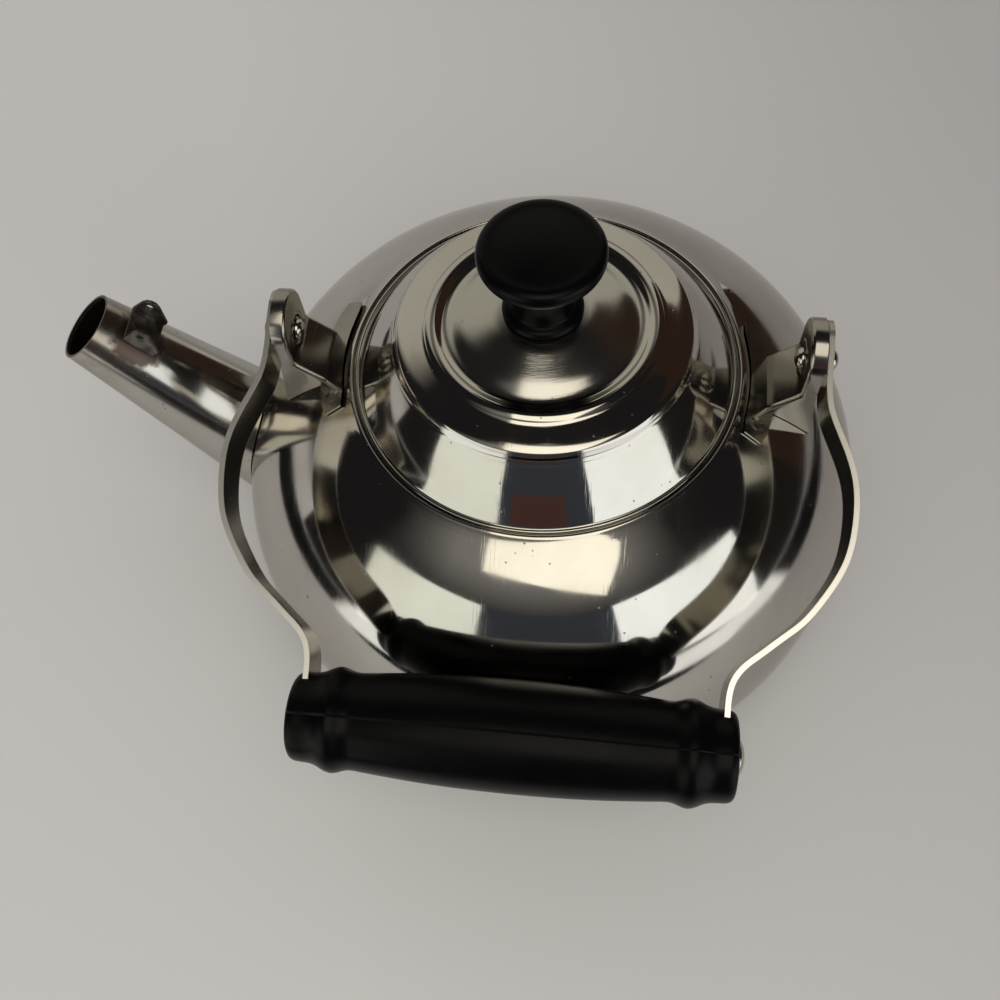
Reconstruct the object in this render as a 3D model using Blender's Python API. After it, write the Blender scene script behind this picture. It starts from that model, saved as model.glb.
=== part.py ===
"""Stovetop tea kettle with a lift-off stepped lid, a straight spout and a
folding bail handle. Lengths are in metres, +Z is up, the spout points to -X,
the bail is folded down towards -Y and the base rests on z = 0."""

import math

import bmesh
import bpy
from mathutils import Matrix, Vector

# Sheet stock and clearances
SHEET = 0.0008
GAP = 0.0003
HOLE_PLAY = 0.0003

# Kettle body
BODY_DIAMETER = 0.1984
RIM_HEIGHT = 0.0910
SEAM_HEIGHT = 0.0070
SEAM_LAP = 0.0040
BASE_EDGE_WIDTH = 0.0097
DRAIN_DIAMETER = 0.0240
# Dome from the seam to the opening: share of the way from the lid rim out to
# the widest radius, and share of the height from the seam to the rim.
DOME_SHARES = (
    (0.929, 0.000), (0.967, 0.048), (0.993, 0.125), (1.000, 0.226),
    (0.993, 0.333), (0.969, 0.423), (0.924, 0.506), (0.853, 0.589),
    (0.756, 0.670), (0.637, 0.745), (0.498, 0.817), (0.341, 0.883),
    (0.182, 0.939), (0.047, 0.981),
)
LIP_HEIGHT = 0.0007
LIP_WIDTH = 0.0014
LEDGE_DROP = 0.0010
LEDGE_WIDTH = 0.0026
NECK_DEPTH = 0.0050
BODY_SEGMENTS = 44

# Lid
LID_DIAMETER = 0.1100
LID_RISE = 0.0252
LID_RIM_THICKNESS = 0.0009
LID_PLAY = 0.0006
# Upper face of the lid: share of its radius, share of its rise.
LID_SHARES = (
    (0.966, 0.030), (0.950, 0.082), (0.912, 0.222), (0.868, 0.362),
    (0.820, 0.486), (0.770, 0.596), (0.752, 0.672), (0.732, 0.716),
    (0.690, 0.744), (0.610, 0.786), (0.582, 0.828), (0.555, 0.842),
    (0.526, 0.824), (0.500, 0.790), (0.478, 0.786), (0.420, 0.846),
    (0.350, 0.905), (0.280, 0.955), (0.225, 0.990), (0.205, 1.000),
)
SKIRT_DEPTH = 0.0070
LID_SEGMENTS = 36

# Lid knob, its screw and washer
KNOB_DIAMETER = 0.0334
KNOB_HEIGHT = 0.0252
# Knob outline: share of its radius, share of its height.
KNOB_SHARES = (
    (0.600, 0.000), (0.660, 0.020), (0.660, 0.050), (0.600, 0.085),
    (0.510, 0.115), (0.492, 0.170), (0.505, 0.330), (0.540, 0.520),
    (0.585, 0.625), (0.690, 0.690), (0.860, 0.740), (0.960, 0.785),
    (1.000, 0.850), (0.996, 0.905), (0.950, 0.955), (0.860, 0.978),
    (0.820, 0.972), (0.500, 0.988), (0.250, 0.997),
)
SCREW_DIAMETER = 0.0040
SCREW_HEAD_DIAMETER = 0.0084
SCREW_HEAD_HEIGHT = 0.0024
SCREW_REACH = 0.0100
SCREW_SLOT_WIDTH = 0.0010
SCREW_SLOT_DEPTH = 0.0011
WASHER_DIAMETER = 0.0130
WASHER_THICKNESS = 0.0008
KNOB_SEGMENTS = 24
SMALL_SEGMENTS = 12

# Spout
# Centre of the mouth, out from the body's widest place and up from its rim.
SPOUT_OVERHANG = 0.0378
SPOUT_MOUTH_RISE = 0.0041
SPOUT_MOUTH_DIAMETER = 0.0213
SPOUT_ELEVATION = math.radians(52.4)
SPOUT_TAPER = math.radians(6.6)
SPOUT_SEGMENTS = 28
SPOUT_LENGTH_SHARES = (0.0, 0.02, 0.20, 0.45, 0.72, 1.0)

# Whistle hinge lug near the spout mouth
LUG_SETBACK = 0.0062
LUG_LENGTH = 0.0104
LUG_WIDTH = 0.0118
LUG_HEIGHT = 0.0082
LUG_SHEET = 0.0009
LUG_HOLE_DIAMETER = 0.0021
# Lug ear outline: share of its length from the mouth side, share of height.
LUG_EAR_SHARES = (
    (0.00, 0.00), (0.00, 0.66), (0.05, 0.86), (0.16, 0.97), (0.30, 1.00),
    (0.44, 0.92), (1.00, 0.36), (1.00, 0.00),
)
LUG_HOLE_SHARES = (0.25, 0.66)

# Ear brackets and bail pivot
PIVOT_RISE = 0.0088
EAR_WIDTH = 0.0186
EAR_FLANGE = 0.0035
EAR_DROP = 0.0050
# Centre of the ear's round top, above the pivot.
EAR_RISE = 0.0034
# Fold out from the lip, ear out from the fold, gusset foot out from the ear.
FOLD_SETBACK = 0.0066
EAR_STEP = 0.0081
GUSSET_OVERHANG = 0.0061
FOOT_WIDTH = 0.0400
FOOT_INNER_MARGIN = 0.0012
FOOT_OUTER_MARGIN = 0.0026
RIVET_DIAMETER = 0.0040
RIVET_HEAD_DIAMETER = 0.0060
RIVET_HEAD_HEIGHT = 0.0020
SPACER_DIAMETER = 0.0080

# Bail straps
STRAP_STANDOFF = 0.0060
STRAP_WIDTH = 0.0130
STRAP_THICKNESS = 0.0015
# Centre of the strap's round end, past the pivot.
STRAP_TAIL = 0.0045
# Middle of the grip, out past the body's widest place.
BAIL_OVERREACH = 0.0090
# Strap line: share of the bail length, and share of the side step between
# the grip slot (0) and the pivot plane (1).
STRAP_SHARES = (
    (0.000, 1.000), (0.090, 0.990), (0.140, 1.016), (0.190, 1.098),
    (0.260, 1.234), (0.325, 1.318), (0.390, 1.338), (0.456, 1.313),
    (0.515, 1.249), (0.567, 1.138), (0.623, 0.972), (0.673, 0.788),
    (0.716, 0.556), (0.757, 0.330), (0.789, 0.158), (0.822, 0.052),
    (0.866, 0.006), (0.910, 0.000), (1.000, 0.000),
)
REST_GAP = 0.0003
REST_STEPS = 40

# Grip, tie rod and end caps
GRIP_LENGTH = 0.1160
GRIP_DIAMETER = 0.0296
# Grip outline from the middle to one end: share of half its length, share of
# its radius.
GRIP_SHARES = (
    (0.000, 1.000), (0.160, 0.994), (0.320, 0.974), (0.480, 0.938),
    (0.600, 0.902), (0.680, 0.874), (0.715, 0.866), (0.745, 0.884),
    (0.770, 0.918), (0.798, 0.944), (0.826, 0.928), (0.852, 0.884),
    (0.878, 0.838), (0.905, 0.812), (0.950, 0.800), (0.985, 0.776),
    (1.000, 0.716),
)
GRIP_END_WALL = 0.0020
GRIP_SEGMENTS = 24
ROD_DIAMETER = 0.0040
CAP_DIAMETER = 0.0100
CAP_HEIGHT = 0.0022
CAP_BORE_DEPTH = 0.0012

# Colours (linear) with metallic and roughness
FINISHES = {
    "polished_steel": ((0.62, 0.60, 0.57), 1.0, 0.12),
    "worn_steel": ((0.50, 0.48, 0.45), 1.0, 0.26),
    "black_phenolic": ((0.012, 0.012, 0.013), 0.0, 0.42),
    "plated_screw": ((0.55, 0.54, 0.52), 1.0, 0.22),
}

BODY_RADIUS = BODY_DIAMETER / 2
LID_RADIUS = LID_DIAMETER / 2
LEDGE_OUTER = LID_RADIUS + LID_PLAY
DOME_INNER = LEDGE_OUTER + LIP_WIDTH
NECK_RADIUS = LEDGE_OUTER - LEDGE_WIDTH - SHEET
LEDGE_HEIGHT = RIM_HEIGHT - LEDGE_DROP
LID_SEAT = LEDGE_HEIGHT + GAP
LID_TOP = LID_SEAT + LID_RISE
PIVOT_HEIGHT = RIM_HEIGHT + PIVOT_RISE
SPOUT_MOUTH_REACH = BODY_RADIUS + SPOUT_OVERHANG
SPOUT_MOUTH_HEIGHT = RIM_HEIGHT + SPOUT_MOUTH_RISE
FOLD_RADIUS = DOME_INNER + FOLD_SETBACK
EAR_PLANE = FOLD_RADIUS + EAR_STEP
GUSSET_REACH = EAR_PLANE + GUSSET_OVERHANG
STRAP_PLANE = EAR_PLANE + STRAP_STANDOFF
BAIL_LENGTH = BODY_RADIUS + BAIL_OVERREACH
PIVOT = Vector((0, 0, PIVOT_HEIGHT))
SLOT_PLANE = GRIP_LENGTH / 2 - GRIP_END_WALL - STRAP_THICKNESS / 2 - HOLE_PLAY


def smooth_line(points, steps):
    """Catmull-Rom line through the points, with steps spans to each span."""
    rows = [Vector(p) for p in points]
    rows = [rows[0] * 2 - rows[1]] + rows + [rows[-1] * 2 - rows[-2]]
    line = []
    for a, b, c, d in zip(rows, rows[1:], rows[2:], rows[3:]):
        for k in range(steps):
            t = k / steps
            line.append((b * 2 + (c - a) * t
                         + (a * 2 - b * 5 + c * 4 - d) * t * t
                         + (b * 3 - a - c * 3 + d) * t ** 3) / 2)
    return [tuple(p) for p in line] + [tuple(rows[-2])]


def offset_line(points, distance):
    """The line moved sideways, to the right of its direction."""
    moved = []
    for i, p in enumerate(points):
        a = Vector(points[max(i - 1, 0)])
        b = Vector(p)
        c = Vector(points[min(i + 1, len(points) - 1)])
        d1 = (b - a if i else c - b).normalized()
        d2 = (c - b if i < len(points) - 1 else b - a).normalized()
        n1, n2 = Vector((d1.y, -d1.x)), Vector((d2.y, -d2.x))
        mitre = (n1 + n2).normalized()
        moved.append(tuple(b + mitre * (distance / max(mitre.dot(n1), 0.6))))
    return moved


def height_on(line, radius):
    """Height of a falling or rising (radius, height) line at a radius."""
    for (r1, z1), (r2, z2) in zip(line, line[1:]):
        if min(r1, r2) <= radius <= max(r1, r2) and r1 != r2:
            return z1 + (z2 - z1) * (radius - r1) / (r2 - r1)
    ends = sorted((line[0], line[-1]))
    return ends[0][1] if radius < ends[0][0] else ends[1][1]


def radius_on(line, height):
    """Radius of a (radius, height) line at a height."""
    for (r1, z1), (r2, z2) in zip(line, line[1:]):
        if min(z1, z2) <= height <= max(z1, z2) and z1 != z2:
            return r1 + (r2 - r1) * (height - z1) / (z2 - z1)
    ends = sorted((line[0], line[-1]), key=lambda p: p[1])
    return ends[0][0] if height < ends[0][1] else ends[1][0]


def clear_scene():
    for item in list(bpy.data.objects):
        bpy.data.objects.remove(item, do_unlink=True)


def finish_material(name):
    found = bpy.data.materials.get(name)
    if found:
        return found
    colour, metallic, roughness = FINISHES[name]
    made = bpy.data.materials.new(name)
    made.use_nodes = True
    shader = made.node_tree.nodes["Principled BSDF"]
    shader.inputs["Base Color"].default_value = (*colour, 1)
    shader.inputs["Metallic"].default_value = metallic
    shader.inputs["Roughness"].default_value = roughness
    made.diffuse_color = (*colour, 1)
    return made


def make_object(name, bm, finish, origin=(0, 0, 0)):
    """Closed, outward mesh object whose origin is at the given point."""
    bmesh.ops.remove_doubles(bm, verts=bm.verts, dist=1e-6)
    bmesh.ops.recalc_face_normals(bm, faces=bm.faces)
    if bm.calc_volume(signed=True) < 0:
        bmesh.ops.reverse_faces(bm, faces=bm.faces)
    bmesh.ops.translate(bm, verts=bm.verts, vec=-Vector(origin))
    mesh = bpy.data.meshes.new(name)
    bm.to_mesh(mesh)
    bm.free()
    item = bpy.data.objects.new(name, mesh)
    item.location = origin
    item.data.materials.append(finish_material(finish))
    bpy.context.scene.collection.objects.link(item)
    return item


def combine(item, other, operation):
    """Exact boolean on item; the other object is used up."""
    step = item.modifiers.new("step", "BOOLEAN")
    step.operation = operation
    step.solver = "EXACT"
    step.object = other
    bpy.context.view_layer.update()
    depsgraph = bpy.context.evaluated_depsgraph_get()
    result = bpy.data.meshes.new_from_object(item.evaluated_get(depsgraph))
    item.modifiers.remove(step)
    old = item.data
    item.data = result
    result.name = item.name
    bpy.data.meshes.remove(old)
    bpy.data.objects.remove(other, do_unlink=True)
    return item


def revolve(profile, segments, frame=Matrix.Identity(4)):
    """Solid from a closed (radius, height) profile turned about local Z.
    Profile points on the axis become single points."""
    bm = bmesh.new()
    rings = []
    for r, z in profile:
        count = 1 if abs(r) < 1e-9 else segments
        rings.append([bm.verts.new(frame @ Vector((
            r * math.cos(math.tau * k / segments),
            r * math.sin(math.tau * k / segments), z)))
            for k in range(count)])
    for a, b in zip(rings, rings[1:] + rings[:1]):
        for k in range(segments):
            n = (k + 1) % segments
            corners = [a[k % len(a)], a[n % len(a)],
                       b[n % len(b)], b[k % len(b)]]
            unique = list(dict.fromkeys(corners))
            if len(unique) > 2:
                bm.faces.new(unique)
    return bm


def prism(outline, start, end, place):
    """Solid from a 2-D outline between two depths; place(u, v, w) gives the
    3-D point."""
    bm = bmesh.new()
    low = [bm.verts.new(place(u, v, start)) for u, v in outline]
    high = [bm.verts.new(place(u, v, end)) for u, v in outline]
    bm.faces.new(low)
    bm.faces.new(high)
    for k in range(len(outline)):
        n = (k + 1) % len(outline)
        bm.faces.new((low[k], low[n], high[n], high[k]))
    return bm


def cylinder(radius, start, end, segments, frame=Matrix.Identity(4)):
    return revolve([(0, start), (radius, start), (radius, end), (0, end)],
                   segments, frame)


def axis_frame(origin, direction):
    """Frame whose local Z runs along the direction."""
    turn = Vector(direction).to_track_quat("Z", "Y").to_matrix().to_4x4()
    return Matrix.Translation(origin) @ turn


def dome_line():
    """Outer face of the shell from the seam up to the lip."""
    step = BODY_RADIUS - DOME_INNER
    rise = RIM_HEIGHT - SEAM_HEIGHT
    rows = [(DOME_INNER + a * step, SEAM_HEIGHT + b * rise)
            for a, b in DOME_SHARES]
    return smooth_line(rows, 1)


def shell_line():
    """Outer face from the seam over the lip and ledge down the neck."""
    lip = LEDGE_OUTER + LIP_WIDTH / 2
    return dome_line() + [
        (DOME_INNER + LIP_WIDTH / 4, RIM_HEIGHT),
        (lip + LIP_WIDTH / 4, RIM_HEIGHT + LIP_HEIGHT),
        (lip - LIP_WIDTH / 4, RIM_HEIGHT + LIP_HEIGHT),
        (LEDGE_OUTER, LEDGE_HEIGHT + SHEET / 2),
        (LEDGE_OUTER - SHEET / 2, LEDGE_HEIGHT),
        (NECK_RADIUS + SHEET, LEDGE_HEIGHT),
        (NECK_RADIUS, LEDGE_HEIGHT - SHEET),
        (NECK_RADIUS, LEDGE_HEIGHT - NECK_DEPTH),
    ]


DOME = dome_line()


def build_body():
    line = shell_line()
    inner = offset_line(line, -SHEET)
    shell = make_object("body_shell", revolve(line + inner[::-1],
                                              BODY_SEGMENTS),
                        "polished_steel")
    mouth, inward = spout_axis()
    frame = axis_frame(mouth, inward)
    reach = spout_reach()
    drill = make_object("drill", cylinder(
        DRAIN_DIAMETER / 2, reach - DRAIN_DIAMETER, reach + DRAIN_DIAMETER,
        SPOUT_SEGMENTS, frame), "worn_steel")
    combine(shell, drill, "DIFFERENCE")

    lap_radius = radius_on(offset_line(DOME, -SHEET),
                           SEAM_HEIGHT) - GAP - SHEET / 2
    flat = lap_radius - BASE_EDGE_WIDTH
    step = BASE_EDGE_WIDTH
    corner = smooth_line([
        (flat, 0), (flat + step * 0.55, SEAM_HEIGHT * 0.16),
        (flat + step * 0.86, SEAM_HEIGHT * 0.52),
        (lap_radius, SEAM_HEIGHT)], 2)
    outer = [(0, 0)] + corner + [(lap_radius, SEAM_HEIGHT + SEAM_LAP)]
    inner = [(0, SHEET)] + offset_line(outer, -SHEET)[1:]
    make_object("base_pan", revolve(outer + inner[::-1], BODY_SEGMENTS),
                "worn_steel")


def spout_axis():
    """Centre of the mouth, and the direction from it into the kettle."""
    mouth = Vector((-SPOUT_MOUTH_REACH, 0, SPOUT_MOUTH_HEIGHT))
    inward = Vector((math.cos(SPOUT_ELEVATION), 0,
                     -math.sin(SPOUT_ELEVATION)))
    return mouth, inward


def spout_point(angle, depth, inset=0.0):
    """Point on the spout cone, moved in from its outer face by inset."""
    mouth, inward = spout_axis()
    upward = Vector((math.sin(SPOUT_ELEVATION), 0,
                     math.cos(SPOUT_ELEVATION)))
    radius = (SPOUT_MOUTH_DIAMETER / 2 + depth * math.tan(SPOUT_TAPER)
              - inset)
    side = Vector((0, 1, 0))
    return (mouth + inward * depth
            + (upward * math.cos(angle) + side * math.sin(angle)) * radius)


def root_depth(angle, inset=0.0, clear=GAP):
    """Depth at which a line of the cone meets the dome."""
    low, high = 0.0, SPOUT_MOUTH_REACH / math.cos(SPOUT_ELEVATION) / 1.6
    for _ in range(60):
        middle = (low + high) / 2
        p = spout_point(angle, middle, inset)
        if math.hypot(p.x, p.y) > radius_on(DOME, p.z) + clear:
            low = middle
        else:
            high = middle
    return low


def spout_reach():
    return root_depth(math.pi / 2, SPOUT_MOUTH_DIAMETER / 2)


def build_spout():
    """Tapered tube whose root follows the dome like a cut saddle."""
    bm = bmesh.new()
    rings = []
    for inset, shares in ((0.0, SPOUT_LENGTH_SHARES),
                          (SHEET, SPOUT_LENGTH_SHARES[::-1])):
        for share in shares:
            ring = []
            for k in range(SPOUT_SEGMENTS):
                angle = math.tau * k / SPOUT_SEGMENTS
                depth = root_depth(angle, inset)
                ring.append(bm.verts.new(
                    spout_point(angle, depth * share, inset)))
            rings.append(ring)
    for a, b in zip(rings, rings[1:] + rings[:1]):
        for k in range(SPOUT_SEGMENTS):
            n = (k + 1) % SPOUT_SEGMENTS
            bm.faces.new((a[k], a[n], b[n], b[k]))
    make_object("spout_tube", bm, "polished_steel")


def build_lug():
    """U-shaped hinge lug for a whistle flap, standing on the spout."""
    mouth, inward = spout_axis()
    upward = Vector((math.sin(SPOUT_ELEVATION), 0,
                     math.cos(SPOUT_ELEVATION)))
    half = LUG_WIDTH / 2
    end_radius = (SPOUT_MOUTH_DIAMETER / 2
                  + (LUG_SETBACK + LUG_LENGTH) * math.tan(SPOUT_TAPER))
    floor = end_radius + GAP

    def place(u, v, w):
        return (mouth + inward * (LUG_SETBACK + u) + upward * (floor + v)
                + Vector((0, w, 0)))

    length, height = LUG_LENGTH, LUG_HEIGHT
    outline = [(a * length, b * height) for a, b in LUG_EAR_SHARES]
    lug = make_object("whistle_hinge_lug", prism(outline, -half, half,
                                                 place), "worn_steel")
    inner = half - LUG_SHEET
    slot = make_object("slot", prism(
        [(-length, LUG_SHEET), (-length, height * 2),
         (length * 2, height * 2), (length * 2, LUG_SHEET)],
        -inner, inner, place), "worn_steel")
    combine(lug, slot, "DIFFERENCE")
    a, b = LUG_HOLE_SHARES
    centre = place(a * length, b * height, 0)
    drill = make_object("drill", cylinder(
        LUG_HOLE_DIAMETER / 2, -LUG_WIDTH, LUG_WIDTH, SMALL_SEGMENTS,
        axis_frame(centre, (0, 1, 0))), "worn_steel")
    combine(lug, drill, "DIFFERENCE")


def ear_outline(half, top, bottom):
    """Half-round topped outline in (y, z), its centre at the given top."""
    steps = SMALL_SEGMENTS
    arc = [(half * math.cos(math.pi * k / steps),
            top + half * math.sin(math.pi * k / steps))
           for k in range(steps + 1)]
    return [(half, bottom)] + arc + [(-half, bottom)]


def build_bracket(side):
    """Pressed bracket: foot on the dome, sloped web, flanged upright ear and
    gussets that reach down to the dome."""
    name = "ear_bracket_left" if side < 0 else "ear_bracket_right"
    half = EAR_WIDTH / 2
    ear_in = EAR_PLANE - SHEET / 2
    ear_out = EAR_PLANE + SHEET / 2 + EAR_FLANGE
    bend = PIVOT_HEIGHT - EAR_DROP
    crown = PIVOT_HEIGHT + EAR_RISE
    top = crown + half * 2
    seat = GAP + SHEET * 0.25

    def on_dome(r):
        return height_on(DOME, math.hypot(r, half)) + seat

    spread = [FOLD_RADIUS + (GUSSET_REACH - FOLD_RADIUS) * k / 5
              for k in range(6)]
    floor = [(r, on_dome(r)) for r in spread]
    fold = (FOLD_RADIUS, height_on(DOME, FOLD_RADIUS) + GAP + SHEET)
    face = [fold, (ear_in, bend), (ear_in, top), (ear_out, top),
            (ear_out, bend)]

    def across(u, v, w):
        return Vector((side * u, w, v))

    def along(u, v, w):
        return Vector((side * w, u, v))

    bracket = make_object(name, prism(face + floor[::-1], -half, half,
                                      across), "worn_steel")
    rounder = make_object("rounder", prism(
        ear_outline(half, crown, 0), 0, BODY_RADIUS, along),
        "worn_steel")
    combine(bracket, rounder, "INTERSECT")

    slope = Vector((ear_in - fold[0], bend - fold[1])).normalized()
    shift = Vector((slope.y, -slope.x)) * SHEET
    far = BODY_RADIUS
    hollow_face = [
        (fold[0] + shift.x - slope.x * EAR_WIDTH,
         fold[1] + shift.y - slope.y * EAR_WIDTH),
        (ear_in + SHEET, bend - SHEET * 0.35), (ear_in + SHEET, top + half),
        (far, top + half),
        (far, fold[1] + shift.y - slope.y * EAR_WIDTH)]
    hollow = make_object("hollow", prism(
        hollow_face, -half + SHEET, half - SHEET, across), "worn_steel")
    trimmer = make_object("trimmer", prism(
        ear_outline(half - SHEET, crown, -BODY_RADIUS), 0,
        BODY_DIAMETER, along), "worn_steel")
    combine(hollow, trimmer, "INTERSECT")
    combine(bracket, hollow, "DIFFERENCE")

    foot = make_object("foot", foot_plate(side), "worn_steel")
    combine(bracket, foot, "UNION")
    drill = make_object("drill", cylinder(
        RIVET_DIAMETER / 2 + HOLE_PLAY, EAR_PLANE - SHEET * 2,
        EAR_PLANE + SHEET * 2, SMALL_SEGMENTS,
        axis_frame(PIVOT, (side, 0, 0))), "worn_steel")
    combine(bracket, drill, "DIFFERENCE")


def foot_plate(side):
    """Foot of a bracket: a curved plate with rounded ends on the dome."""
    inner = DOME_INNER + LIP_WIDTH / 2 + FOOT_INNER_MARGIN
    outer = FOLD_RADIUS + FOOT_OUTER_MARGIN
    columns, rows = 10, 2
    bm = bmesh.new()
    grid = {}
    for i in range(columns + 1):
        u = 2 * i / columns - 1
        pinch = 0.16 * abs(u) ** 8
        for j in range(rows + 1):
            v = pinch + (1 - 2 * pinch) * j / rows
            r = inner + (outer - inner) * v
            angle = u * FOOT_WIDTH / 2 / FOLD_RADIUS
            for level in (0, 1):
                z = height_on(DOME, r) + GAP * 1.6 + level * SHEET
                grid[i, j, level] = bm.verts.new(
                    (side * r * math.cos(angle), r * math.sin(angle), z))

    def quad(*keys):
        bm.faces.new([grid[k] for k in keys])

    for i in range(columns):
        for j in range(rows):
            for level in (0, 1):
                quad((i, j, level), (i + 1, j, level),
                     (i + 1, j + 1, level), (i, j + 1, level))
        for j in (0, rows):
            quad((i, j, 0), (i + 1, j, 0), (i + 1, j, 1), (i, j, 1))
    for j in range(rows):
        for i in (0, columns):
            quad((i, j, 0), (i, j + 1, 0), (i, j + 1, 1), (i, j, 1))
    return bm


def dome_cap(radius, base, height, steps=4):
    """Profile rows of a low domed head, from its edge to the axis."""
    return [(radius * math.cos(math.pi / 2 * k / steps),
             base + height * math.sin(math.pi / 2 * k / steps))
            for k in range(steps)] + [(0, base + height)]


def build_pivot(side):
    """Headed rivet and the spacer sleeve between the ear and the strap."""
    tag = "left" if side < 0 else "right"
    frame = axis_frame(PIVOT, (side, 0, 0))
    shank = RIVET_DIAMETER / 2
    head = RIVET_HEAD_DIAMETER / 2
    inner = EAR_PLANE - SHEET / 2 - GAP
    outer = STRAP_PLANE + STRAP_THICKNESS / 2 + GAP
    profile = ([(r, inner - (z - inner)) for r, z in
                dome_cap(head, inner, RIVET_HEAD_HEIGHT)[::-1]]
               + [(shank, inner), (shank, outer)]
               + dome_cap(head, outer, RIVET_HEAD_HEIGHT))
    make_object(f"pivot_rivet_{tag}", revolve(profile, SMALL_SEGMENTS, frame),
                "worn_steel")
    start = EAR_PLANE + SHEET / 2 + GAP
    end = STRAP_PLANE - STRAP_THICKNESS / 2 - GAP
    bore = shank + HOLE_PLAY
    wall = SPACER_DIAMETER / 2
    make_object(f"pivot_spacer_{tag}", revolve(
        [(bore, start), (wall, start), (wall, end), (bore, end)],
        SMALL_SEGMENTS, frame), "worn_steel")


def rest_angle():
    """Angle below horizontal at which the grip comes to rest on the dome."""
    reach = GRIP_DIAMETER / 2 + REST_GAP
    low, high = -math.pi / 4, math.pi / 3
    for _ in range(REST_STEPS):
        angle = (low + high) / 2
        y = BAIL_LENGTH * math.cos(angle)
        z = PIVOT_HEIGHT - BAIL_LENGTH * math.sin(angle)
        near = min(segment_distance((y, z), a, b)
                   for a, b in zip(DOME, DOME[1:]))
        if near > reach:
            low = angle
        else:
            high = angle
    return low


def segment_distance(point, a, b):
    p, a, b = Vector(point), Vector(a), Vector(b)
    t = (p - a).dot(b - a) / (b - a).length_squared
    return (p - (a + (b - a) * min(max(t, 0), 1))).length


REST_ANGLE = rest_angle()


def bail_place(x, s, n):
    """Point of the bail: side position, distance from the pivot axis along
    the folded bail, and height off its middle plane."""
    c, d = math.cos(REST_ANGLE), math.sin(REST_ANGLE)
    return PIVOT + Vector((x, -s * c - n * d, -s * d + n * c))


def build_strap(side):
    """Flat strap along its bent line, with round drilled ends."""
    tag = "left" if side < 0 else "right"
    half = STRAP_WIDTH / 2
    step = STRAP_PLANE - SLOT_PLANE
    middle = smooth_line([(SLOT_PLANE + k * step, s * BAIL_LENGTH)
                          for s, k in STRAP_SHARES], 1)
    stations = []
    steps = 6
    for k in range(steps):
        turn = math.pi / 2 * k / steps
        stations.append((STRAP_PLANE, -STRAP_TAIL - half * math.cos(turn),
                         max(half * math.sin(turn), half * 0.10)))
    stations.append((STRAP_PLANE, -STRAP_TAIL, half))
    for x, s in middle:
        stations.append((x, s, half))
    for k in range(1, steps + 1):
        turn = math.pi / 2 * k / steps
        stations.append((SLOT_PLANE, BAIL_LENGTH + half * math.sin(turn),
                         max(half * math.cos(turn), half * 0.10)))
    bm = bmesh.new()
    rings = []
    centre = [(x, s) for x, s, _ in stations]
    outside = offset_line(centre, STRAP_THICKNESS / 2)
    inside = offset_line(centre, -STRAP_THICKNESS / 2)
    for (xo, so), (xi, si), (_, _, w) in zip(outside, inside, stations):
        rings.append([bm.verts.new(bail_place(side * x, s, n))
                      for x, s, n in ((xo, so, w), (xo, so, -w),
                                      (xi, si, -w), (xi, si, w))])
    for a, b in zip(rings, rings[1:]):
        for k in range(4):
            n = (k + 1) % 4
            bm.faces.new((a[k], a[n], b[n], b[k]))
    bm.faces.new(rings[0])
    bm.faces.new(rings[-1])
    strap = make_object(f"bail_strap_{tag}", bm, "polished_steel")
    for x, s, size in ((STRAP_PLANE, 0, RIVET_DIAMETER),
                       (SLOT_PLANE, BAIL_LENGTH, ROD_DIAMETER)):
        drill = make_object("drill", cylinder(
            size / 2 + HOLE_PLAY, -STRAP_THICKNESS, STRAP_THICKNESS,
            SMALL_SEGMENTS, axis_frame(bail_place(side * x, s, 0),
                                       (1, 0, 0))), "worn_steel")
        combine(strap, drill, "DIFFERENCE")
    set_origin(strap, PIVOT)


def set_origin(item, origin):
    """Moves the object's origin without moving its surface."""
    offset = Vector(origin) - item.location
    item.data.transform(Matrix.Translation(-offset))
    item.location = origin


def build_grip():
    half = GRIP_LENGTH / 2
    radius = GRIP_DIAMETER / 2
    line = smooth_line([(r * radius, x * half) for x, r in GRIP_SHARES], 1)
    outer = [(r, -x) for r, x in line[:0:-1]] + line
    bore = ROD_DIAMETER / 2 + HOLE_PLAY
    frame = axis_frame(bail_place(0, BAIL_LENGTH, 0), (1, 0, 0))
    profile = [(bore, -half)] + outer + [(bore, half)]
    grip = make_object("grip", revolve(profile, GRIP_SEGMENTS, frame),
                       "black_phenolic")
    play = HOLE_PLAY
    wide = STRAP_WIDTH / 2 + play
    thick = STRAP_THICKNESS / 2 + play
    for side in (-1, 1):
        x = side * SLOT_PLANE
        slot = make_object("slot", prism(
            [(x - thick, BAIL_LENGTH - radius * 2),
             (x + thick, BAIL_LENGTH - radius * 2),
             (x + thick, BAIL_LENGTH + wide),
             (x - thick, BAIL_LENGTH + wide)],
            -wide, wide, bail_place), "black_phenolic")
        combine(grip, slot, "DIFFERENCE")
    set_origin(grip, PIVOT)

    cap = CAP_DIAMETER / 2
    rod_end = half + GAP + CAP_BORE_DEPTH - GAP
    rod = make_object("grip_tie_rod", cylinder(
        ROD_DIAMETER / 2, -rod_end, rod_end, SMALL_SEGMENTS, frame),
        "plated_screw")
    set_origin(rod, PIVOT)
    for side, tag in ((-1, "left"), (1, "right")):
        place = axis_frame(bail_place(0, BAIL_LENGTH, 0), (side, 0, 0))
        base = half + GAP
        profile = ([(0, base + CAP_BORE_DEPTH), (bore, base + CAP_BORE_DEPTH),
                    (bore, base)]
                   + dome_cap(cap, base, CAP_HEIGHT, 6))
        item = make_object(f"grip_cap_{tag}",
                           revolve(profile, SMALL_SEGMENTS, place),
                           "plated_screw")
        set_origin(item, PIVOT)


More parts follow.
